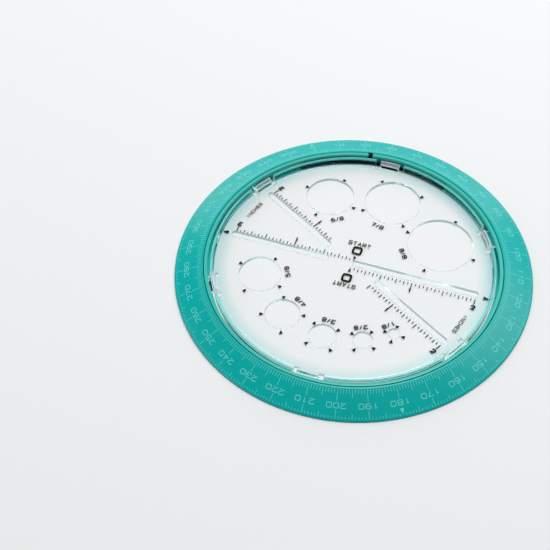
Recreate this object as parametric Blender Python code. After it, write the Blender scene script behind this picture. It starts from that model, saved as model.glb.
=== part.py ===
"""Rotating-disc drawing compass: a 360 degree protractor ring with a clear template disc that turns in it.

Units are metres, +Z is up. The origin is the centre of the ring on the surface it lies on.
The ring's 0 degree graduation is on +Y and its degrees run clockwise seen from above.
"""

import math

import bmesh
import bpy

MM = 0.001

# ---- driving dimensions, millimetres ----
RING_OUTER_R = 72.0  # outer edge of the protractor ring
RING_EDGE_H = 0.55  # height of its thin outer edge
RING_TOP_R = 60.75  # top of the cone
RING_TOP_H = 4.95
BORE_R = 60.1  # bore that takes the retaining ring
LEDGE_R = 57.6  # bore of the ledge, which guides the disc's edge
LEDGE_H = 0.9
WALL = 1.4  # wall thickness of the shell
FOOT_IN_R = 69.6  # inner edge of the outer foot
GROOVE_R = 60.8  # snap groove in the bore, for the retaining ring's bead
GROOVE_Z0, GROOVE_Z1 = 2.0, 3.3

LIP_R = 58.4  # inner edge of the retaining ring's lip
LIP_OUT_R = 59.8
LIP_UNDER_Z = 3.9  # underside of the lip, over the snap fingers
SKIRT_R = 59.2  # inside of the retaining ring's skirt
SKIRT_Z0 = 1.2
BEAD_R = 60.5
BEAD_Z0, BEAD_Z1 = 2.4, 2.9
SPLIT_AT = 22.9  # ring reading, degrees, at the middle of the split
SPLIT_W = 2.0
RECESS_FROM, RECESS_TO = -7.5, 58.0  # readings between which the skirt is cut away

DISC_R = 57.3
DISC_Z0, DISC_Z1 = 0.5, 2.0
STEP_R = 54.7  # where the disc's edge band steps down from the plate
STEP_Z = 1.75
RIM_IN_R = 56.2
RIM_TOP_Z = 4.6
FINGER_DEG = 8.1  # angle that each snap finger spans
FINGER_R = 54.2  # inner end of the slits beside a finger
FINGER_IN_R = 55.1
SLIT_W = 2.24  # the rim is missing over the finger and both slits, 12.6 degrees in all
HOOK_R = 58.9
HOOK_Z0, HOOK_Z1 = 2.2, 3.5
FINGER_TOP_Z = 4.5
FINGER_AXES = (30.0, 90.0, 150.0, 210.0, 270.0, 330.0)

DISC_READING = 122.0  # ring reading under the disc's index triangle at rest

SLOT_W = 2.5
SLOT_OFFSET = 0.3  # the slots' centre line, away from their graduations
MAIN_SLOT = (0.3, 51.6)  # along the disc's axis
BACK_SLOT = (9.8, 52.0)
SIDE_SLOT = (13.0, 51.6)  # the two slots turned -30 degrees from the axis
SIDE_SLOT_DEG = -30.0

HOLE_PCR = 37.5  # radius of the circle the template holes sit on
HOLE_PLAY = 1.2  # added for the pencil point
HOLES = (  # eighths of an inch, angle from the disc's axis
    (8, 33.2),
    (7, 79.7),
    (6, 121.3),
    (5, 206.8),
    (4, 240.7),
    (3, 269.3),
    (2, 293.2),
    (1, 312.3),
)
EIGHTH = 3.175

RING_SEGS = 96
DISC_SEGS = 96

for o in list(bpy.data.objects):
    bpy.data.objects.remove(o)


def row_angle(reading):
    """Angle from +X, degrees, of a ring reading: 0 is on +Y and readings run clockwise."""
    return 90.0 - reading


def material(name, colour, roughness, metallic=0.0, transmission=0.0):
    m = bpy.data.materials.new(name)
    m.use_nodes = True
    b = m.node_tree.nodes["Principled BSDF"]
    b.inputs["Base Color"].default_value = (*colour, 1.0)
    b.inputs["Roughness"].default_value = roughness
    b.inputs["Metallic"].default_value = metallic
    b.inputs["Transmission Weight"].default_value = transmission
    return m


def new_object(name, bm, mat=None, smooth=True):
    mesh = bpy.data.meshes.new(name)
    bmesh.ops.recalc_face_normals(bm, faces=bm.faces)
    bm.to_mesh(mesh)
    bm.free()
    if smooth:
        mesh.shade_smooth()
        mesh.set_sharp_from_angle(angle=math.radians(30))
    o = bpy.data.objects.new(name, mesh)
    bpy.context.scene.collection.objects.link(o)
    if mat:
        mesh.materials.append(mat)
    return o


def turned(profile, segs, start=0.0, sweep=360.0):
    """A closed outline of (radius, z) in millimetres, turned about Z, with end caps if it isn't a full turn."""
    bm = bmesh.new()
    full = abs(sweep - 360.0) < 1e-6
    rings = []
    for i in range(segs if full else segs + 1):
        a = math.radians(start + sweep * i / segs)
        rings.append(
            [
                bm.verts.new((r * MM * math.cos(a), r * MM * math.sin(a), z * MM))
                for r, z in profile
            ]
        )
    n = len(profile)
    for i in range(segs):
        a, b = rings[i], rings[(i + 1) % len(rings)]
        for k in range(n):
            bm.faces.new((a[k], a[(k + 1) % n], b[(k + 1) % n], b[k]))
    if not full:
        bm.faces.new(rings[0])
        bm.faces.new(list(reversed(rings[-1])))
    return bm


def prism(points, z0, z1):
    """A closed outline of (x, y) in millimetres, extruded from z0 to z1."""
    bm = bmesh.new()
    low = [bm.verts.new((x * MM, y * MM, z0 * MM)) for x, y in points]
    high = [bm.verts.new((x * MM, y * MM, z1 * MM)) for x, y in points]
    n = len(points)
    for k in range(n):
        bm.faces.new((low[k], low[(k + 1) % n], high[(k + 1) % n], high[k]))
    bm.faces.new(list(reversed(low)))
    bm.faces.new(high)
    return bm


def circle(cx, cy, r, segs):
    return [
        (
            cx + r * math.cos(2 * math.pi * k / segs),
            cy + r * math.sin(2 * math.pi * k / segs),
        )
        for k in range(segs)
    ]


def stadium(u0, u1, width, deg, round_start=True):
    """A slot's outline from u0 to u1 along the direction deg, with its outer end round."""
    h = width / 2
    pts = []
    ends = 8
    for k in range(ends + 1):
        t = math.radians(-90 + 180 * k / ends)
        pts.append((u1 - h + h * math.cos(t), h * math.sin(t)))
    if round_start:
        for k in range(ends + 1):
            t = math.radians(90 + 180 * k / ends)
            pts.append((u0 + h + h * math.cos(t), h * math.sin(t)))
    else:
        pts += [(u0, h), (u0, -h)]
    pts = [(x, y + SLOT_OFFSET) for x, y in pts]
    c, s = math.cos(math.radians(deg)), math.sin(math.radians(deg))
    return [(c * x - s * y, s * x + c * y) for x, y in pts]


def merged(name, meshes):
    """Several closed meshes in one cutter object, hidden from the build."""
    bm = bmesh.new()
    for part in meshes:
        m = bpy.data.meshes.new("tmp")
        bmesh.ops.recalc_face_normals(part, faces=part.faces)
        part.to_mesh(m)
        part.free()
        bm.from_mesh(m)
        bpy.data.meshes.remove(m)
    o = new_object(name, bm, smooth=False)
    o.hide_render = True
    o.display_type = "WIRE"
    return o


def boolean(target, other, operation):
    m = target.modifiers.new(operation.lower() + "_" + other.name, "BOOLEAN")
    m.operation = operation
    m.solver = "EXACT"
    m.object = other


teal = material("teal_plastic", (0.02, 0.42, 0.36), 0.35)
lip_teal = material("lip_teal_plastic", (0.05, 0.50, 0.38), 0.35)
clear = material("clear_plastic", (0.93, 0.97, 0.97), 0.05, transmission=1.0)

# ---- protractor ring: a conical shell with an outer foot, a bore and a ledge ----
ring_profile = [
    (LEDGE_R, 0.0),
    (LEDGE_R, LEDGE_H),
    (BORE_R, LEDGE_H),
    (BORE_R, GROOVE_Z0),
    (GROOVE_R, GROOVE_Z0 + 0.15),
    (GROOVE_R, GROOVE_Z1 - 0.15),
    (BORE_R, GROOVE_Z1),
    (BORE_R, RING_TOP_H - 0.15),
    (BORE_R + 0.15, RING_TOP_H),
    (RING_TOP_R, RING_TOP_H),
    (71.55, 0.85),
    (RING_OUTER_R, RING_EDGE_H),
    (RING_OUTER_R, 0.0),
    (FOOT_IN_R, 0.0),
    (FOOT_IN_R, 0.25),
    (BORE_R + WALL + 1.0, RING_TOP_H - WALL - 0.75),
    (BORE_R + WALL + 0.4, RING_TOP_H - WALL - 1.05),
    (BORE_R + WALL + 0.4, 0.0),
]
scale_ring = new_object("scale_ring", turned(ring_profile, RING_SEGS), teal)

# ---- split retaining ring in the bore, with its lip over the snap fingers ----
lip_profile = [
    (SKIRT_R, SKIRT_Z0),
    (SKIRT_R, LIP_UNDER_Z),
    (LIP_R, LIP_UNDER_Z),
    (LIP_R, RING_TOP_H - 0.2),
    (LIP_R + 0.2, RING_TOP_H),
    (LIP_OUT_R - 0.2, RING_TOP_H),
    (LIP_OUT_R, RING_TOP_H - 0.2),
    (LIP_OUT_R, BEAD_Z1 + 0.2),
    (BEAD_R, BEAD_Z1),
    (BEAD_R, BEAD_Z0),
    (LIP_OUT_R, BEAD_Z0 - 0.2),
    (LIP_OUT_R, SKIRT_Z0),
]
half_split = math.degrees(SPLIT_W / 2 / LIP_R)
retaining_ring = new_object(
    "retaining_ring",
    turned(
        lip_profile,
        RING_SEGS - 1,
        start=row_angle(SPLIT_AT) + half_split,
        sweep=360.0 - 2 * half_split,
    ),
    lip_teal,
)

# the skirt is cut away over an arc, under the lip
recess = merged(
    "skirt_recess",
    [
        turned(
            [
                (LIP_R - 1.0, SKIRT_Z0 - 1.0),
                (BEAD_R + 1.0, SKIRT_Z0 - 1.0),
                (BEAD_R + 1.0, LIP_UNDER_Z - 0.3),
                (LIP_R - 1.0, LIP_UNDER_Z - 0.3),
            ],
            18,
            start=row_angle(RECESS_TO),
            sweep=RECESS_TO - RECESS_FROM,
        )
    ],
)
boolean(retaining_ring, recess, "DIFFERENCE")

# ---- clear template disc, modelled with its index axis along +X and then turned to its rest angle ----
disc_bm = bmesh.new()
plate = [
    (0.0, DISC_Z0),
    (DISC_R - 0.15, DISC_Z0),
    (DISC_R, DISC_Z0 + 0.15),
    (DISC_R, RIM_TOP_Z - 0.15),
    (DISC_R - 0.15, RIM_TOP_Z),
    (RIM_IN_R + 0.1, RIM_TOP_Z),
    (RIM_IN_R, RIM_TOP_Z - 0.1),
    (RIM_IN_R, STEP_Z),
    (STEP_R, STEP_Z),
    (STEP_R - 0.15, DISC_Z1),
    (0.0, DISC_Z1),
]
rings = []
for i in range(DISC_SEGS):
    a = 2 * math.pi * (i + 0.5) / DISC_SEGS
    rings.append(
        [
            disc_bm.verts.new((r * MM * math.cos(a), r * MM * math.sin(a), z * MM))
            for r, z in plate[1:-1]
        ]
    )
for i in range(DISC_SEGS):
    a, b = rings[i], rings[(i + 1) % DISC_SEGS]
    for k in range(len(a) - 1):
        disc_bm.faces.new((a[k], a[k + 1], b[k + 1], b[k]))
disc_bm.faces.new([r[0] for r in rings])
disc_bm.faces.new([r[-1] for r in reversed(rings)])
template_disc = new_object("template_disc", disc_bm, clear)

# the rim stops at each snap finger, which is thicker and has a hook that reaches under the lip
gaps = merged(
    "rim_gaps",
    [
        turned(
            [
                (RIM_IN_R - 0.6, STEP_Z + 0.4),
                (DISC_R + 1.0, STEP_Z + 0.4),
                (DISC_R + 1.0, RIM_TOP_Z + 1.0),
                (RIM_IN_R - 0.6, RIM_TOP_Z + 1.0),
            ],
            6,
            start=f - FINGER_DEG / 2 - 0.35,
            sweep=FINGER_DEG + 0.7,
        )
        for f in FINGER_AXES
    ],
)
boolean(template_disc, gaps, "DIFFERENCE")
hook = [
    (FINGER_IN_R, 1.1),
    (DISC_R - 0.4, 1.1),
    (DISC_R - 0.1, HOOK_Z0 - 0.4),
    (HOOK_R - 0.2, HOOK_Z0),
    (HOOK_R, HOOK_Z0 + 0.2),
    (HOOK_R, HOOK_Z0 + 0.7),
    (DISC_R + 0.6, HOOK_Z1),
    (DISC_R - 0.3, HOOK_Z1 + 0.1),
    (DISC_R - 0.5, FINGER_TOP_Z),
    (RIM_IN_R - 0.1, FINGER_TOP_Z),
    (FINGER_IN_R, 3.2),
]
hooks = merged(
    "hook_shapes",
    [
        turned(hook, 6, start=f - FINGER_DEG / 2 - 0.15, sweep=FINGER_DEG + 0.3)
        for f in FINGER_AXES
    ],
)
boolean(template_disc, hooks, "UNION")

cuts = []
half_slit = math.degrees(SLIT_W / 2 / 57.0)
for f in FINGER_AXES:
    for side in (-1, 1):
        c = f + side * (FINGER_DEG / 2 + half_slit)
        a = math.radians(c)
        ux, uy = math.cos(a), math.sin(a)
        r0, r1, h = FINGER_R, HOOK_R + 1.0, SLIT_W / 2
        cuts.append(
            prism(
                [
                    (r0 * ux + h * uy, r0 * uy - h * ux),
                    (r1 * ux + h * uy, r1 * uy - h * ux),
                    (r1 * ux - h * uy, r1 * uy + h * ux),
                    (r0 * ux - h * uy, r0 * uy + h * ux),
                ],
                -1.0,
                6.0,
            )
        )
for eighths, deg in HOLES:
    a = math.radians(deg)
    r = (eighths * EIGHTH + HOLE_PLAY) / 2
    cuts.append(
        prism(
            circle(
                HOLE_PCR * math.cos(a),
                HOLE_PCR * math.sin(a),
                r,
                24 if eighths < 4 else 40,
            ),
            -1.0,
            5.0,
        )
    )
cuts.append(prism(stadium(*MAIN_SLOT, SLOT_W, 0.0, round_start=False), -1.0, 5.0))
cuts.append(prism(stadium(*BACK_SLOT, SLOT_W, 180.0), -1.0, 5.0))
cuts.append(prism(stadium(*SIDE_SLOT, SLOT_W, SIDE_SLOT_DEG), -1.0, 5.0))
cuts.append(prism(stadium(*SIDE_SLOT, SLOT_W, SIDE_SLOT_DEG + 180.0), -1.0, 5.0))
cutter = merged("disc_cuts", cuts)
boolean(template_disc, cutter, "DIFFERENCE")

# the disc and its shapes turn together about the joint's axis
spin = bpy.data.objects.new("disc_axis", None)
bpy.context.scene.collection.objects.link(spin)
spin.rotation_euler = (0, 0, math.radians(row_angle(DISC_READING)))
for o in (template_disc, gaps, hooks, cutter):
    o.parent = spin
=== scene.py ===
import math

import bmesh
import bpy
from mathutils import Matrix, Vector


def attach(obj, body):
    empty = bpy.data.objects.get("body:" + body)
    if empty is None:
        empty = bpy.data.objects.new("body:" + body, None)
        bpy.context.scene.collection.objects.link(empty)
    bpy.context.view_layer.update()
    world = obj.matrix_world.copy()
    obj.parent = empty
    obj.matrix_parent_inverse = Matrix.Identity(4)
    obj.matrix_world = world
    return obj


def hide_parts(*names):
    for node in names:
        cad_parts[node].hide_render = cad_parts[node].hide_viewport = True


# A rotating-disc drawing compass: a teal protractor ring with a clear template disc that turns in it.
# Lengths in this script are millimetres until they reach a mesh. A ring reading is counted clockwise from +Y.

MM = 0.001
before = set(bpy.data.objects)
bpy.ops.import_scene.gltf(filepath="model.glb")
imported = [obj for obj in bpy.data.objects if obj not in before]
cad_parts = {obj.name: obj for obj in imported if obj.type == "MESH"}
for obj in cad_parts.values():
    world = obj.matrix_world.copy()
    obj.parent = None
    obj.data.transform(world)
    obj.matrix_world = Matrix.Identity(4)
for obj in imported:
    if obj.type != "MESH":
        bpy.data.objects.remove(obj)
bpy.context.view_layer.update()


# ---------------------------------------------------------------- dimensions taken over from the CAD
RING_R = 72.0
BORE_R = 60.1
LEDGE_R = 57.6
DISC_R = 57.3
REST = math.radians(90.0 - 122.0)  # the disc's index axis at rest
FINGERS = (30.0, 90.0, 150.0, 210.0, 270.0, 330.0)
FINGER_DEG = 8.1
HOLE_PCR = 37.5
HOLES = ((8, 33.2), (7, 79.7), (6, 121.3), (5, 206.8), (4, 240.7), (3, 269.3), (2, 293.2), (1, 312.3))
SLOT_W, SLOT_OFFSET = 2.5, 0.3
# the recess arc, as ring readings: the lip's skirt is relieved over it, and the ledge top there is painted with shade
DARK_FROM, DARK_TO = -7.5, 58.0
SPLIT_AT, SPLIT_W = 22.9, 2.0


def hole_r(k):
    return (3.175 * k + 1.2) / 2


def cone_z(r):
    """Height of the ring's conical face."""
    return 4.95 + (0.85 - 4.95) * (r - 60.75) / (71.55 - 60.75)


# ---------------------------------------------------------------- mesh helpers
class Builder:
    def __init__(self):
        self.v, self.f, self.m = [], [], []

    def vert(self, p):
        self.v.append(p)
        return len(self.v) - 1

    def face(self, idx, mat=0):
        self.f.append(idx)
        self.m.append(mat)

    def prism(self, outline, place, h0, h1):
        """A closed outline of (x, y), extruded from height h0 to h1 and put in place."""
        n = len(outline)
        a = [self.vert(place(x, y, h0)) for x, y in outline]
        b = [self.vert(place(x, y, h1)) for x, y in outline]
        for k in range(n):
            self.face((a[k], a[(k + 1) % n], b[(k + 1) % n], b[k]))
        self.face(tuple(reversed(a)))
        self.face(tuple(b))

    def ribbon(self, pts, width, place, h0, h1, closed=False):
        """A stroke of even width along pts, with mitred corners, as a thin closed solid."""
        n = len(pts)
        left, right = [], []
        for i, p in enumerate(pts):
            if closed:
                q0, q1 = pts[(i - 1) % n], pts[(i + 1) % n]
            else:
                q0 = pts[i - 1] if i else None
                q1 = pts[i + 1] if i < n - 1 else None
            d = []
            if q0 is not None:
                d.append((p[0] - q0[0], p[1] - q0[1]))
            if q1 is not None:
                d.append((q1[0] - p[0], q1[1] - p[1]))
            ns = []
            for dx, dy in d:
                w = math.hypot(dx, dy) or 1.0
                ns.append((-dy / w, dx / w))
            nx, ny = sum(a for a, _ in ns), sum(b for _, b in ns)
            w = math.hypot(nx, ny)
            if w < 1e-6:
                nx, ny, w = ns[0][0], ns[0][1], 1.0
            nx, ny = nx / w, ny / w
            s = width / 2 / max(0.5, nx * ns[0][0] + ny * ns[0][1])
            left.append((p[0] + nx * s, p[1] + ny * s))
            right.append((p[0] - nx * s, p[1] - ny * s))
        rows = []
        for l, r in zip(left, right):
            rows.append([self.vert(place(*r, h0)), self.vert(place(*l, h0)), self.vert(place(*l, h1)), self.vert(place(*r, h1))])
        m = len(rows)
        for i in range(m if closed else m - 1):
            a, b = rows[i], rows[(i + 1) % m]
            for k in range(4):
                self.face((a[k], a[(k + 1) % 4], b[(k + 1) % 4], b[k]))
        if not closed:
            self.face(tuple(rows[0]))
            self.face(tuple(reversed(rows[-1])))

    def obj(self, name, materials, smooth=True, angle=32, fix=True, flat_faces=False):
        mesh = bpy.data.meshes.new(name)
        mesh.from_pydata([(x * MM, y * MM, z * MM) for x, y, z in self.v], [], self.f)
        for m in materials:
            mesh.materials.append(m)
        mesh.polygons.foreach_set("material_index", self.m)
        if fix:
            bm = bmesh.new()
            bm.from_mesh(mesh)
            bmesh.ops.recalc_face_normals(bm, faces=bm.faces)
            bm.to_mesh(mesh)
            bm.free()
        if smooth:
            mesh.shade_smooth()
            mesh.set_sharp_from_angle(angle=math.radians(angle))
        if flat_faces:
            flat = [abs(f.normal.z) > 0.9995 for f in mesh.polygons]
            sides = {}
            for f in mesh.polygons:
                for k in f.edge_keys:
                    sides.setdefault(k, []).append(flat[f.index])
            attr = mesh.attributes.get("sharp_edge") or mesh.attributes.new("sharp_edge", "BOOLEAN", "EDGE")
            for e in mesh.edges:
                if len(set(sides[e.key])) == 2:
                    attr.data[e.index].value = True
        o = bpy.data.objects.new(name, mesh)
        bpy.context.scene.collection.objects.link(o)
        return o


def rounded(path, closed=False, steps=4):
    """A polyline of (x, y, corner radius) with its corners rounded."""
    n, out = len(path), []
    for i, (x, y, r) in enumerate(path):
        if r <= 0 or (not closed and i in (0, n - 1)):
            out.append((x, y))
            continue
        ax, ay, _ = path[(i - 1) % n]
        bx, by, _ = path[(i + 1) % n]
        la, lb = math.hypot(ax - x, ay - y), math.hypot(bx - x, by - y)
        ra, rb = min(r, la * 0.48), min(r, lb * 0.48)
        p0 = (x + (ax - x) / la * ra, y + (ay - y) / la * ra)
        p1 = (x + (bx - x) / lb * rb, y + (by - y) / lb * rb)
        for k in range(steps + 1):
            t = k / steps
            out.append(tuple((1 - t) ** 2 * p0[j] + 2 * t * (1 - t) * (x, y)[j] + t * t * p1[j] for j in (0, 1)))
    return out


# ---------------------------------------------------------------- a plain squarish stroke font, cells 1 x 1
R = 0.26
GLYPHS = {
    "0": [(True, [(0, 0, R), (1, 0, R), (1, 1, R), (0, 1, R)])],
    "1": [(False, [(0.22, 0.74, 0), (0.55, 1, 0), (0.55, 0, 0)])],
    "2": [(False, [(0, 0.76, 0), (0, 1, R), (1, 1, R), (1, 0.56, 0.2), (0, 0.0, 0.0), (1, 0, 0)])],
    "3": [(False, [(0, 0.82, 0), (0, 1, R), (1, 1, R), (1, 0.53, 0.15), (0.35, 0.53, 0)]),
          (False, [(0.6, 0.53, 0), (1, 0.53, 0.2), (1, 0, R), (0, 0, R), (0, 0.18, 0)])],
    "4": [(False, [(0.76, 0, 0), (0.76, 1, 0), (0, 0.27, 0), (1.0, 0.27, 0)])],
    "5": [(False, [(0.95, 1, 0), (0.04, 1, 0), (0.04, 0.58, 0), (1, 0.58, R), (1, 0, R), (0, 0, R), (0, 0.17, 0)])],
    "6": [(False, [(0.92, 1, 0), (0, 1, 0.34), (0, 0, R), (1, 0, R), (1, 0.56, R), (0.02, 0.56, 0)])],
    "7": [(False, [(0, 1, 0), (1, 1, 0), (0.36, 0, 0)])],
    "8": [(True, [(0.05, 0.53, 0.2), (0.95, 0.53, 0.2), (0.95, 1, 0.2), (0.05, 1, 0.2)]),
          (True, [(0, 0, R), (1, 0, R), (1, 0.53, 0.2), (0, 0.53, 0.2)])],
    "9": [(False, [(0.08, 0, 0), (1, 0, 0.34), (1, 1, R), (0, 1, R), (0, 0.44, R), (0.98, 0.44, 0)])],
    "/": [(False, [(0.2, -0.02, 0), (0.8, 1.02, 0)])],
    "S": [(False, [(1, 0.82, 0), (1, 1, R), (0, 1, R), (0, 0.52, R), (1, 0.52, R), (1, 0, R), (0, 0, R), (0, 0.18, 0)])],
    "T": [(False, [(0, 1, 0), (1, 1, 0)]), (False, [(0.5, 1, 0), (0.5, 0, 0)])],
    "A": [(False, [(0, 0, 0), (0.5, 1, 0), (1, 0, 0)]), (False, [(0.18, 0.33, 0), (0.82, 0.33, 0)])],
    "R": [(False, [(0, 0, 0), (0, 1, 0), (1, 1, R), (1, 0.45, R), (0, 0.45, 0)]), (False, [(0.55, 0.45, 0), (1, 0, 0)])],
    "I": [(False, [(0.5, 0, 0), (0.5, 1, 0)])],
    "N": [(False, [(0, 0, 0), (0, 1, 0), (1, 0, 0), (1, 1, 0)])],
    "C": [(False, [(1, 0.8, 0), (1, 1, R), (0, 1, R), (0, 0, R), (1, 0, R), (1, 0.2, 0)])],
    "H": [(False, [(0, 0, 0), (0, 1, 0)]), (False, [(1, 0, 0), (1, 1, 0)]), (False, [(0, 0.52, 0), (1, 0.52, 0)])],
    "E": [(False, [(1, 1, 0), (0, 1, 0), (0, 0, 0), (1, 0, 0)]), (False, [(0, 0.52, 0), (0.88, 0.52, 0)])],
}


def write(b, text, w, h, pitch, stroke, place, h0, h1):
    """Draws text centred on the local origin; x runs along the line and y up it."""
    iw, ih = w - stroke, h - stroke
    n = len(text)
    for i, c in enumerate(text):
        x0 = (i - (n - 1) / 2) * pitch - iw / 2
        for j, (closed, path) in enumerate(GLYPHS[c]):
            pts = [(x0 + x * iw, (y - 0.5) * ih) for x, y in rounded(path, closed)]
            e = 0.0012 * j  # strokes that cross don't share a face
            b.ribbon(pts, stroke, place, h0, h1 + e, closed)


# ---------------------------------------------------------------- materials
def new_material(name):
    m = bpy.data.materials.new(name)
    m.use_nodes = True
    nt = m.node_tree
    return m, nt, nt.nodes["Principled BSDF"], nt.nodes["Material Output"]


def moulded(name, dark, light, rough, spec=0.5, grain=0.05, coat=0.0):
    """Moulded plastic: faint flow variation in its colour, uneven gloss, and a fine satin grain."""
    m, nt, p, _ = new_material(name)
    co = nt.nodes.new("ShaderNodeTexCoord")
    flow = nt.nodes.new("ShaderNodeTexNoise")
    flow.inputs["Scale"].default_value = 22.0
    flow.inputs["Detail"].default_value = 3.0
    nt.links.new(co.outputs["Object"], flow.inputs["Vector"])
    ramp = nt.nodes.new("ShaderNodeValToRGB")
    ramp.color_ramp.elements[0].position = 0.3
    ramp.color_ramp.elements[1].position = 0.7
    ramp.color_ramp.elements[0].color = (*dark, 1)
    ramp.color_ramp.elements[1].color = (*light, 1)
    nt.links.new(flow.outputs["Fac"], ramp.inputs["Fac"])
    nt.links.new(ramp.outputs["Color"], p.inputs["Base Color"])
    fine = nt.nodes.new("ShaderNodeTexNoise")
    fine.inputs["Scale"].default_value = 2600.0
    fine.inputs["Detail"].default_value = 2.0
    nt.links.new(co.outputs["Object"], fine.inputs["Vector"])
    rr = nt.nodes.new("ShaderNodeMapRange")
    rr.inputs["To Min"].default_value = rough - 0.05
    rr.inputs["To Max"].default_value = rough + 0.06
    nt.links.new(flow.outputs["Fac"], rr.inputs["Value"])
    nt.links.new(rr.outputs["Result"], p.inputs["Roughness"])
    bump = nt.nodes.new("ShaderNodeBump")
    bump.inputs["Strength"].default_value = grain
    bump.inputs["Distance"].default_value = 0.00005
    nt.links.new(fine.outputs["Fac"], bump.inputs["Height"])
    nt.links.new(bump.outputs["Normal"], p.inputs["Normal"])
    p.inputs["Specular IOR Level"].default_value = spec
    p.inputs["Coat Weight"].default_value = coat
    return m


def clear_plastic(name, colour=(1.0, 1.0, 1.0), through=1.0, rough=(0.0, 0.004), glow=0.0, painted_ring_tint=False, spec=0.5, mirror=1.0):
    """Clear polished plastic. Rays on their way to a lamp pass through it, so what lies under it stays lit."""
    m, nt, p, out = new_material(name)
    p.inputs["Base Color"].default_value = (*colour, 1)
    p.inputs["Transmission Weight"].default_value = through
    p.inputs["IOR"].default_value = 1.49
    p.inputs["Specular IOR Level"].default_value = spec
    p.inputs["Specular Tint"].default_value = (mirror, mirror, mirror, 1)
    co = nt.nodes.new("ShaderNodeTexCoord")
    if painted_ring_tint:  # painted reflection: the plate's colour turns cyan towards its edge, standing in for the ring's colour that light carries into the plate
        flat = nt.nodes.new("ShaderNodeVectorMath")
        flat.operation = "MULTIPLY"
        flat.inputs[1].default_value = (1, 1, 0)
        nt.links.new(co.outputs["Object"], flat.inputs[0])
        reach = nt.nodes.new("ShaderNodeVectorMath")
        reach.operation = "LENGTH"
        nt.links.new(flat.outputs["Vector"], reach.inputs[0])
        band = nt.nodes.new("ShaderNodeMapRange")
        band.inputs["From Min"].default_value = 0.0495
        band.inputs["From Max"].default_value = 0.0560
        nt.links.new(reach.outputs["Value"], band.inputs["Value"])
        hue = nt.nodes.new("ShaderNodeValToRGB")
        hue.color_ramp.elements[0].color = (*colour, 1)
        hue.color_ramp.elements[1].color = (0.66, 0.89, 0.905, 1)
        nt.links.new(band.outputs["Result"], hue.inputs["Fac"])
        nt.links.new(hue.outputs["Color"], p.inputs["Base Color"])
    wave = nt.nodes.new("ShaderNodeTexNoise")
    wave.inputs["Scale"].default_value = 160.0
    wave.inputs["Detail"].default_value = 2.0
    nt.links.new(co.outputs["Object"], wave.inputs["Vector"])
    rr = nt.nodes.new("ShaderNodeMapRange")
    rr.inputs["To Min"].default_value = rough[0]
    rr.inputs["To Max"].default_value = rough[1]
    nt.links.new(wave.outputs["Fac"], rr.inputs["Value"])
    nt.links.new(rr.outputs["Result"], p.inputs["Roughness"])
    bump = nt.nodes.new("ShaderNodeBump")
    bump.inputs["Strength"].default_value = 0.02
    bump.inputs["Distance"].default_value = 0.0001
    nt.links.new(wave.outputs["Fac"], bump.inputs["Height"])
    nt.links.new(bump.outputs["Normal"], p.inputs["Normal"])
    lp = nt.nodes.new("ShaderNodeLightPath")
    tr = nt.nodes.new("ShaderNodeBsdfTransparent")
    tr.inputs["Color"].default_value = (0.999, 1.0, 1.0, 1)
    mix = nt.nodes.new("ShaderNodeMixShader")
    nt.links.new(lp.outputs["Is Shadow Ray"], mix.inputs[0])
    nt.links.new(p.outputs["BSDF"], mix.inputs[1])
    nt.links.new(tr.outputs["BSDF"], mix.inputs[2])
    soft = nt.nodes.new("ShaderNodeMixShader")  # light bounced off the floor isn't counted a second time
    nt.links.new(lp.outputs["Is Diffuse Ray"], soft.inputs[0])
    nt.links.new(mix.outputs["Shader"], soft.inputs[1])
    nt.links.new(tr.outputs["BSDF"], soft.inputs[2])
    nt.links.new(soft.outputs["Shader"], out.inputs["Surface"])
    if glow:  # a cut edge also lets out light that the plate has led to it
        back = nt.nodes.new("ShaderNodeBsdfTranslucent")
        back.inputs["Color"].default_value = (*colour, 1)
        edge = nt.nodes.new("ShaderNodeMixShader")
        edge.inputs[0].default_value = glow
        nt.links.new(p.outputs["BSDF"], edge.inputs[1])
        nt.links.new(back.outputs["BSDF"], edge.inputs[2])
        nt.links.new(edge.outputs["Shader"], mix.inputs[1])
    return m


teal = moulded("teal_plastic", (0.0, 0.405, 0.38), (0.0, 0.435, 0.41), 0.26, spec=0.26)
teal_lip = moulded("lip_teal_plastic", (0.03, 0.46, 0.39), (0.045, 0.50, 0.43), 0.3, spec=0.3)
# painted shade: near-black colour standing in for the shadow in the recess under the lip, put on the ledge top over the
# recess arc
shade = moulded("recess_painted_shade", (0.0005, 0.003, 0.003), (0.001, 0.006, 0.006), 0.6, spec=0.05)
# painted shade: dark green standing in for the shadow in the lip's split, put on the bore wall behind it
painted_split_shade = moulded("split_painted_shade", (0.0, 0.05, 0.045), (0.0, 0.07, 0.06), 0.5, spec=0.1)
mint = moulded("mark_mint", (0.13, 0.66, 0.62), (0.17, 0.71, 0.67), 0.35, spec=0.28, grain=0.02)
ink = moulded("print_black", (0.001, 0.001, 0.0012), (0.004, 0.004, 0.005), 0.6, spec=0.04, grain=0.03)
# the plate: clear, with a painted cyan tint towards its edge
clear = clear_plastic("clear_plastic", painted_ring_tint=True, mirror=0.1)
clear_edge = clear_plastic("clear_plastic_cut_edge", (0.78, 0.95, 0.955), 0.8, (0.02, 0.06), 0.42)  # moulded walls of holes and slots scatter light
clear_rim = clear_plastic("clear_rim_top_painted_teal", (0.50, 0.90, 0.86), 0.85, (0.03, 0.08), spec=0.2)  # painted reflection: the rim's top edge is tinted teal and partly opaque, standing in for the ring's colour seen in it
clear_slope = clear_plastic("clear_rim_slope_painted_teal", (0.05, 0.66, 0.60), 0.28, (0.04, 0.10), spec=0.1)  # painted reflection: its inner slope is tinted teal and mostly opaque, standing in for the most ring colour seen in it
clear_finger = clear_plastic("clear_plastic_finger", (0.92, 0.98, 0.99), 0.75, (0.03, 0.08), 0.3)
clear_wall = clear_plastic("clear_plastic_rim_wall", (0.85, 0.99, 0.98), 1.0, (0.0, 0.01))
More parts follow.
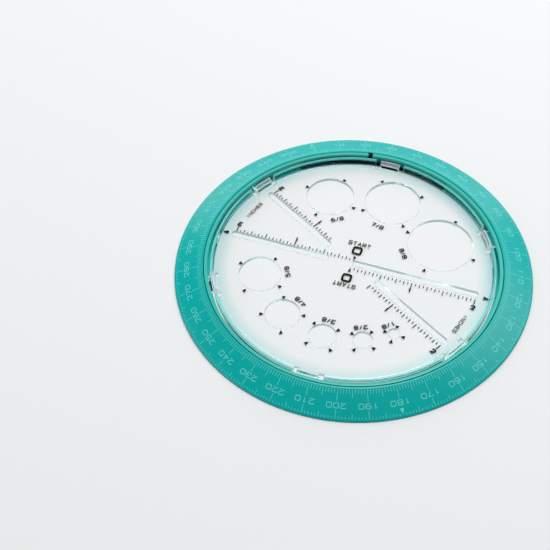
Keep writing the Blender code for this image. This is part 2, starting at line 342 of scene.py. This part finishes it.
clear_outer = clear_plastic("clear_rim_outer_painted_teal", (0.60, 0.91, 0.89), 0.5, (0.04, 0.10), 0.3, spec=0.15)  # the top of the outer wall, beside the lip; painted reflection: tinted teal and half opaque, standing in for the ring's colour seen in it
# painted reflection: the rim wall's reflections are tinted teal, standing in for the ring's colour reflected in it
clear_wall.node_tree.nodes["Principled BSDF"].inputs["Specular Tint"].default_value = (0.15, 0.5, 0.48, 1)


# ---------------------------------------------------------------- ring: turned shell with softened corners
def soften(profile, r=0.12, steps=3):
    return rounded([(x, z, r) for x, z in profile], closed=True, steps=steps)


def turned(b, profile, angles, full, mat=lambda a, k: 0):
    n = len(profile)
    rows = [[b.vert((r * math.cos(a), r * math.sin(a), z)) for r, z in profile] for a in angles]
    m = len(rows)
    for i in range(m if full else m - 1):
        p, q = rows[i], rows[(i + 1) % m]
        mid = angles[i] if full else (angles[i] + angles[i + 1]) / 2
        for k in range(n):
            b.face((p[k], p[(k + 1) % n], q[(k + 1) % n], q[k]), mat(mid, k))
    if not full:
        b.face(tuple(rows[0]))
        b.face(tuple(reversed(rows[-1])))


def in_recess(a):
    reading = (90.0 - math.degrees(a) + 180.0) % 360.0 - 180.0
    return DARK_FROM <= reading <= DARK_TO


shell = soften([
    (LEDGE_R, 0.0), (LEDGE_R, 0.9), (59.0, 0.9), (BORE_R, 0.9), (BORE_R, 4.88), (BORE_R + 0.07, 4.95), (60.75, 4.95),
    (71.55, 0.85), (RING_R, 0.55), (RING_R, 0.0), (69.6, 0.0), (69.6, 0.25), (62.5, 2.8), (61.9, 2.5), (61.9, 0.0),
])


def shell_mat(a, k):
    (r0, z0), (r1, z1) = shell[k], shell[(k + 1) % len(shell)]
    r, z = (r0 + r1) / 2, (z0 + z1) / 2
    # painted shade: the ledge top over the recess arc takes the near-black recess material
    if in_recess(a) and LEDGE_R - 0.01 <= r <= 59.0 and 0.1 < z < 1.2:
        return 1
    # painted shade: the bore wall behind the lip's split takes the dark green split material
    reading = 90.0 - math.degrees(a)
    off = (reading - SPLIT_AT + 180.0) % 360.0 - 180.0
    return 2 if abs(off) < 1.0 and BORE_R - 0.02 <= r <= 60.3 and 1.2 < z else 0


b = Builder()
turned(b, shell, [2 * math.pi * i / 720 for i in range(720)], True, shell_mat)
ring_shell = b.obj("ring_shell", [teal, shade, painted_split_shade])
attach(ring_shell, "ring")
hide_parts("scale_ring")

# ---------------------------------------------------------------- split retaining ring, its skirt relieved over the recess
lip_full = soften([(59.2, 1.2), (59.2, 3.9), (58.4, 3.9), (58.4, 4.75), (58.6, 4.95), (59.72, 4.95), (59.8, 4.87), (59.8, 1.2)], 0.1)
lip_short = [(r, max(z, 3.6)) for r, z in lip_full]
half = SPLIT_W / 2 / 58.4
start = math.radians(90.0 - SPLIT_AT) + half
N = 700
b = Builder()
angles = [start + (2 * math.pi - 2 * half) * i / N for i in range(N + 1)]
rows = []
for a in angles:
    prof = lip_short if in_recess(a) else lip_full
    rows.append([b.vert((r * math.cos(a), r * math.sin(a), z)) for r, z in prof])
for i in range(N):
    p, q = rows[i], rows[i + 1]
    for k in range(len(lip_full)):
        b.face((p[k], p[(k + 1) % len(p)], q[(k + 1) % len(p)], q[k]))
b.face(tuple(rows[0]))
b.face(tuple(reversed(rows[-1])))
lip_ring = b.obj("lip_ring", [teal_lip])
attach(lip_ring, "ring")
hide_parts("retaining_ring")


# ---------------------------------------------------------------- graduations and numbers on the cone
def on_cone(reading, rc):
    """Local x runs clockwise along the ring, y outward, height off the cone's face."""
    def place(x, y, h):
        a = math.radians(90.0 - reading) - x / rc
        r = rc + y
        return (r * math.cos(a), r * math.sin(a), cone_z(r) + h)
    return place


b = Builder()
for d in range(360):
    inner = 65.35 if d % 10 == 0 else 63.9 if d % 5 == 0 else 62.65
    outer = 68.5 if d % 10 == 0 else 69.6 if d % 5 == 0 else 70.6
    if d in (0, 180):
        outer = 70.9
    for r0, r1 in ((61.0, inner), (outer, 71.35)):
        if r1 - r0 < 0.5:
            continue
        rc = (r0 + r1) / 2
        b.ribbon([(0, r0 - rc), (0, r1 - rc)], 0.19, on_cone(d, rc), -0.02, 0.035)
ring_scale = b.obj("ring_graduations", [mint], smooth=False)
b = Builder()
for d in range(0, 360, 10):
    write(b, str(d), 2.1, 2.0, 2.6, 0.27, on_cone(d, 66.9), -0.02, 0.035)
for d in (0, 180):
    b.prism([(-0.75, -1.0), (0.75, -1.0), (0, 1.0)], on_cone(d, 69.9), -0.02, 0.035)
ring_numbers = b.obj("ring_numbers", [mint], smooth=False)
for o in (ring_scale, ring_numbers):
    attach(o, "ring")


# ---------------------------------------------------------------- clear template disc
Z0, Z1, STEP_R, STEP_Z, RIM_IN, RIM_TOP = 0.5, 2.0, 54.7, 1.75, 56.2, 4.6
BAND_R = 54.2
EDGE = 0.14

rim_profile = [(BAND_R, Z1), (STEP_R - 0.15, Z1), (STEP_R, STEP_Z), (55.2, STEP_Z), (55.62, 1.84), (55.95, 2.12), (56.12, 2.5),
               (RIM_IN, 3.0), (RIM_IN, 3.95), (56.27, 4.15), (56.6, 4.5), (56.75, RIM_TOP), (DISC_R - 0.3, RIM_TOP),
               (DISC_R - 0.22, RIM_TOP - 0.06), (DISC_R, 3.2), (DISC_R, Z0 + 0.15), (DISC_R - 0.05, Z0 + 0.05),
               (DISC_R - 0.15, Z0), (BAND_R, Z0)]
finger_profile = [(BAND_R, Z1), (STEP_R - 0.15, Z1), (STEP_R, STEP_Z), (55.0, STEP_Z), (55.1, STEP_Z + 0.1),
                  (55.1, 3.2), (55.5, 3.75), (56.1, 4.5), (56.8, 4.5),
                  (57.0, 3.6), (57.9, 3.5), (58.9, 3.1), (58.9, 2.4), (58.7, 2.2), (57.2, 1.8),
                  (DISC_R, 1.2), (DISC_R, Z0 + 0.1), (DISC_R - 0.15, Z0), (BAND_R, Z0)]
SLIT = math.degrees(2.24 / 57.0)


def disc_circle():
    """Angles around the disc, in sectors: (kind, list of degrees). Rims and fingers, with a slit between them."""
    out = []
    for i, f in enumerate(FINGERS):
        a0, a1 = f - FINGER_DEG / 2, f + FINGER_DEG / 2
        nxt = FINGERS[(i + 1) % len(FINGERS)] + (360 if i == len(FINGERS) - 1 else 0)
        out.append(("finger", [a0 + (a1 - a0) * k / 24 for k in range(25)]))
        b0, b1 = a1 + SLIT, nxt - FINGER_DEG / 2 - SLIT
        out.append(("rim", [b0 + (b1 - b0) * k / 96 for k in range(97)]))
    return out


def arc_pts(cx, cy, r, a0, a1, n):
    return [(cx + r * math.cos(math.radians(a0 + (a1 - a0) * k / n)), cy + r * math.sin(math.radians(a0 + (a1 - a0) * k / n))) for k in range(n + 1)]


def slot_outline(u0, u1, deg, grow, round_start=True):
    h = SLOT_W / 2 + grow
    pts = arc_pts(u1 - SLOT_W / 2, 0, h, -90, 90, 20)
    if round_start:
        pts += arc_pts(u0 + SLOT_W / 2, 0, h, 90, 270, 20)
    else:
        pts += [(u0 - grow, h), (u0 - grow, -h)]
    c, s = math.cos(math.radians(deg)), math.sin(math.radians(deg))
    return [(c * x - s * (y + SLOT_OFFSET), s * x + c * (y + SLOT_OFFSET)) for x, y in pts]


def openings(grow):
    out = []
    for k, deg in HOLES:
        a = math.radians(deg)
        r = hole_r(k) + grow
        n = 96 if k > 3 else 64
        out.append([(HOLE_PCR * math.cos(a) + r * math.cos(2 * math.pi * i / n), HOLE_PCR * math.sin(a) + r * math.sin(2 * math.pi * i / n)) for i in range(n)])
    out.append(slot_outline(0.3, 51.6, 0.0, grow, round_start=False))
    out.append(slot_outline(9.8, 52.0, 180.0, grow))
    out.append(slot_outline(13.0, 51.6, -30.0, grow))
    out.append(slot_outline(13.0, 51.6, 150.0, grow))
    return out


def build_disc():
    from mathutils.geometry import delaunay_2d_cdt

    b = Builder()
    sectors = disc_circle()
    inner_top, inner_low = [], []
    caps = []
    for kind, degs in sectors:
        prof = rim_profile if kind == "rim" else finger_profile
        rows = []
        for d in degs:
            a = math.radians(d)
            rows.append([b.vert((r * math.cos(a), r * math.sin(a), z)) for r, z in prof])
            inner_top.append(rows[-1][0])
            inner_low.append(rows[-1][-1])
        for p, q in zip(rows, rows[1:]):
            for k in range(len(prof) - 1):
                m = 0
                z = (prof[k][1] + prof[k + 1][1]) / 2
                # the rim's top, inner slope, walls and outer top take the teal-tinted clear materials: painted
                # reflection of the ring's colour
                if kind == "rim" and z > 2.05:
                    m = (5 if prof[k][0] < 56.7 else 2) if z > 4.0 and prof[k][0] < DISC_R - 0.25 else 4
                    if prof[k][0] > DISC_R - 0.25 and z > 3.5:
                        m = 6
                if kind == "finger" and 5 <= k <= 7:
                    m = 3
                b.face((p[k], p[k + 1], q[k + 1], q[k]), m)
        b.face(tuple(reversed(rows[0])), 1)
        b.face(tuple(rows[-1]), 1)
        caps.append((rows[0], rows[-1]))
    for i in range(len(caps)):
        last, first = caps[i][1], caps[(i + 1) % len(caps)][0]
        b.face((last[0], last[-1], first[-1], first[0]), 1)

    # walls of the holes and slots, with their edges broken
    loops = []
    quarter = [(EDGE * (1 - math.sin(t)), EDGE * (1 - math.cos(t))) for t in (0, math.pi / 6, math.pi / 3, math.pi / 2)]
    levels = [(g, Z0 + d) for g, d in quarter] + [(g, Z1 - d) for g, d in reversed(quarter)]
    grown = [openings(g) for g, _ in levels]
    for j in range(len(grown[0])):
        rows = [[b.vert((x, y, z)) for x, y in grown[i][j]] for i, (_, z) in enumerate(levels)]
        n = len(rows[0])
        for p, q in zip(rows, rows[1:]):
            for k in range(n):
                b.face((p[k], p[(k + 1) % n], q[(k + 1) % n], q[k]), 1)
        loops.append((rows[0], rows[-1]))

    # flat faces: triangulated between the band and the openings
    for which, rim in ((0, inner_low), (1, inner_top)):
        ids, edges = list(rim), []
        n = len(rim)
        edges += [(k, (k + 1) % n) for k in range(n)]
        centres = []
        for lp in loops:
            ring = lp[which]
            base = len(ids)
            ids += ring
            edges += [(base + k, base + (k + 1) % len(ring)) for k in range(len(ring))]
            centres.append([b.v[i][:2] for i in ring])
        co = [Vector(b.v[i][:2]) for i in ids]
        _, _, tris, orig, _, _ = delaunay_2d_cdt(co, edges, [], 0, 1e-7)

        def inside(x, y, poly):
            hit = False
            for k in range(len(poly)):
                (x0, y0), (x1, y1) = poly[k], poly[(k + 1) % len(poly)]
                if (y0 > y) != (y1 > y) and x < (x1 - x0) * (y - y0) / (y1 - y0) + x0:
                    hit = not hit
            return hit

        outer = [tuple(b.v[i][:2]) for i in rim]
        boxes = [(min(p[0] for p in c), max(p[0] for p in c), min(p[1] for p in c), max(p[1] for p in c)) for c in centres]
        for t in tris:
            idx = [ids[orig[v][0]] for v in t]
            x = sum(b.v[i][0] for i in idx) / 3
            y = sum(b.v[i][1] for i in idx) / 3
            if x * x + y * y > 53.5 ** 2 and not inside(x, y, outer):
                continue
            if any(bx[0] <= x <= bx[1] and bx[2] <= y <= bx[3] and inside(x, y, c) for c, bx in zip(centres, boxes)):
                continue
            b.face(tuple(idx))
    c, s = math.cos(REST), math.sin(REST)
    b.v = [(c * x - s * y, s * x + c * y, z) for x, y, z in b.v]
    return b.obj("clear_disc", [clear, clear_edge, clear_rim, clear_finger, clear_wall, clear_slope, clear_outer], angle=34, flat_faces=True)


disc = build_disc()
bm = bmesh.new()
bm.from_mesh(disc.data)
open_edges = sum(1 for e in bm.edges if len(e.link_faces) != 2)
print("clear_disc: verts", len(bm.verts), "faces", len(bm.faces), "open edges", open_edges, "volume mm3", round(bm.calc_volume() * 1e9, 1))
bm.free()
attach(disc, "disc")
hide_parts("template_disc")


# ---------------------------------------------------------------- print on the disc's underside
PRINT_Z = Z0 - 0.006


def on_disc(u=0.0, n=0.0, turn=0.0):
    """Local x and y, turned by turn degrees and moved to (u, n) in the disc's own axes; heights go down from its underside."""
    ct, st = math.cos(math.radians(turn)), math.sin(math.radians(turn))
    c, s = math.cos(REST), math.sin(REST)

    def place(x, y, h):
        a, d = u + ct * x - st * y, n + st * x + ct * y
        return (c * a - s * d, s * a + c * d, PRINT_Z - h)

    return place


def polar(r, deg):
    return r * math.cos(math.radians(deg)), r * math.sin(math.radians(deg))


T = 0.03
# rulers
b = Builder()


def ruler(first, turn, digits=True):
    base = on_disc(0, 0, turn)
    for k in range(first, 33):
        u = k * 25.4 / 16
        end = 4.4 if k % 16 == 0 else 4.0 if k % 8 == 0 else 3.5 if k % 4 == 0 else 3.2 if k % 2 == 0 else 2.65
        b.ribbon([(u, -1.65), (u, -end)], 0.33 if k % 16 else 0.38, base, 0, T)


ruler(1, 0)
ruler(1, 180)
ruler(8, -30)
ruler(10, 150)
disc_rulers = b.obj("disc_rulers", [ink], smooth=False)

# labels
b = Builder()
for turn in (0, 180, -30, 150):
    c, s = math.cos(math.radians(turn)), math.sin(math.radians(turn))
    for inch, off in ((1, 5.5), (2, 5.8)):
        u, n = inch * 25.4, -off
        write(b, str(inch), 1.9, 2.2, 2.0, 0.56, on_disc(c * u - s * n, s * u + c * n, turn), 0, T)
for turn in (0, 180):
    c, s = math.cos(math.radians(turn)), math.sin(math.radians(turn))
    write(b, "0", 4.2, 4.2, 4.2, 0.9, on_disc(-s * 7.35, c * 7.35, turn), 0, T)
    write(b, "START", 1.68, 2.0, 1.95, 0.34, on_disc(-s * 10.9, c * 10.9, turn), 0, T)
    u, n = polar(50.1, -17.3 + turn)
    write(b, "INCHES", 1.36, 1.6, 1.68, 0.27, on_disc(u, n, -17.3 + turn - 90), 0, T)
for k, deg in HOLES:
    u, n = polar(HOLE_PCR - hole_r(k) - 2.55, deg)
    write(b, str(k) + "/8", 1.75, 2.0, 1.82, 0.4, on_disc(u, n, deg - 90), 0, T)
disc_labels = b.obj("disc_labels", [ink], smooth=False)

# pointers
b = Builder()
for turn in (0, 180):
    b.prism([(-0.575, 4.1), (0, 1.8), (0.575, 4.1)], on_disc(0, 0, turn), 0, T)
    b.prism([(53.7, -0.75), (57.0, 0), (53.7, 0.75)], on_disc(0, 0, turn), 0, T)
b.ribbon([(0, 1.62), (0, 1.9)], 0.2, on_disc(0, 0, 0), 0, T)
for k, deg in HOLES:
    u, n = polar(HOLE_PCR, deg)
    r = hole_r(k)
    for q in range(4):
        b.prism([(r + 0.3, 0), (r + 2.05, -0.78), (r + 2.05, 0.78)], on_disc(u, n, deg + 45 + 90 * q), 0, T)
disc_pointers = b.obj("disc_pointers", [ink], smooth=False)
for o in (disc_rulers, disc_labels, disc_pointers):
    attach(o, "disc")

# ---------------------------------------------------------------- floor
b = Builder()
b.prism([(-3000, -3000), (3000, -3000), (3000, 3000), (-3000, 3000)], lambda x, y, h: (x, y, h), -5.0, 0.0)
m, nt, p, _ = new_material("floor_pale")
co = nt.nodes.new("ShaderNodeTexCoord")
no = nt.nodes.new("ShaderNodeTexNoise")
no.inputs["Scale"].default_value = 900.0
nt.links.new(co.outputs["Object"], no.inputs["Vector"])
ramp = nt.nodes.new("ShaderNodeValToRGB")
ramp.color_ramp.elements[0].color = (0.80, 0.812, 0.818, 1)
ramp.color_ramp.elements[1].color = (0.83, 0.842, 0.848, 1)
nt.links.new(no.outputs["Fac"], ramp.inputs["Fac"])
nt.links.new(ramp.outputs["Color"], p.inputs["Base Color"])
p.inputs["Roughness"].default_value = 0.9
p.inputs["Specular IOR Level"].default_value = 0.1
floor = b.obj("floor", [m], smooth=False)
floor.location.z = -0.00002


# ---------------------------------------------------------------- lights
def area(name, loc, target, size, power, colour=(1, 1, 1), size_y=None):
    l = bpy.data.lights.new(name, "AREA")
    l.energy = power
    l.color = colour
    l.size = size
    if size_y:
        l.shape = "RECTANGLE"
        l.size_y = size_y
    o = bpy.data.objects.new(name, l)
    bpy.context.scene.collection.objects.link(o)
    o.location = loc
    o.rotation_euler = (Vector(target) - Vector(loc)).to_track_quat("-Z", "Y").to_euler()
    return o


area("key_top", (0.25, 0.43, 1.52), (0, 0, 0), 0.45, 14.0)
area("panel_back", (0.5, 1.9, 0.74), (0, 0, 0.0), 2.9, 17.5, size_y=0.9)
area("panel_right", (1.08, 0.30, 1.14), (0, 0, 0.0), 0.9, 8.5)
area("soft_left", (-1.5, 0.27, 0.7), (0, 0, 0.0), 1.2, 8.0)

world = bpy.data.worlds.new("studio")
bpy.context.scene.world = world
world.use_nodes = True
bg = world.node_tree.nodes["Background"]
bg.inputs["Color"].default_value = (0.96, 0.985, 1.0, 1)
bg.inputs["Strength"].default_value = 0.13

# ---------------------------------------------------------------- camera at the object's seen angle
yaw, pitch, roll = math.radians(10.090), math.radians(52.114), math.radians(-2.662)
fwd = Vector((math.sin(yaw) * math.cos(pitch), math.cos(yaw) * math.cos(pitch), -math.sin(pitch)))
right0 = Vector((math.cos(yaw), -math.sin(yaw), 0.0))
up0 = right0.cross(fwd)
right = math.cos(roll) * right0 + math.sin(roll) * up0
up = -math.sin(roll) * right0 + math.cos(roll) * up0
cam_data = bpy.data.cameras.new("camera")
cam_data.sensor_width = 36.0
cam_data.lens = 950.55 / 550 * 36.0
cam_data.clip_start = 0.01
cam_data.clip_end = 50.0
cam = bpy.data.objects.new("camera", cam_data)
bpy.context.scene.collection.objects.link(cam)
mat = Matrix((right, up, -fwd)).transposed().to_4x4()
mat.translation = Vector((-0.072695, -0.229482, 0.302946))
cam.matrix_world = mat
bpy.context.scene.camera = cam
bpy.context.scene.view_settings.view_transform = "Standard"
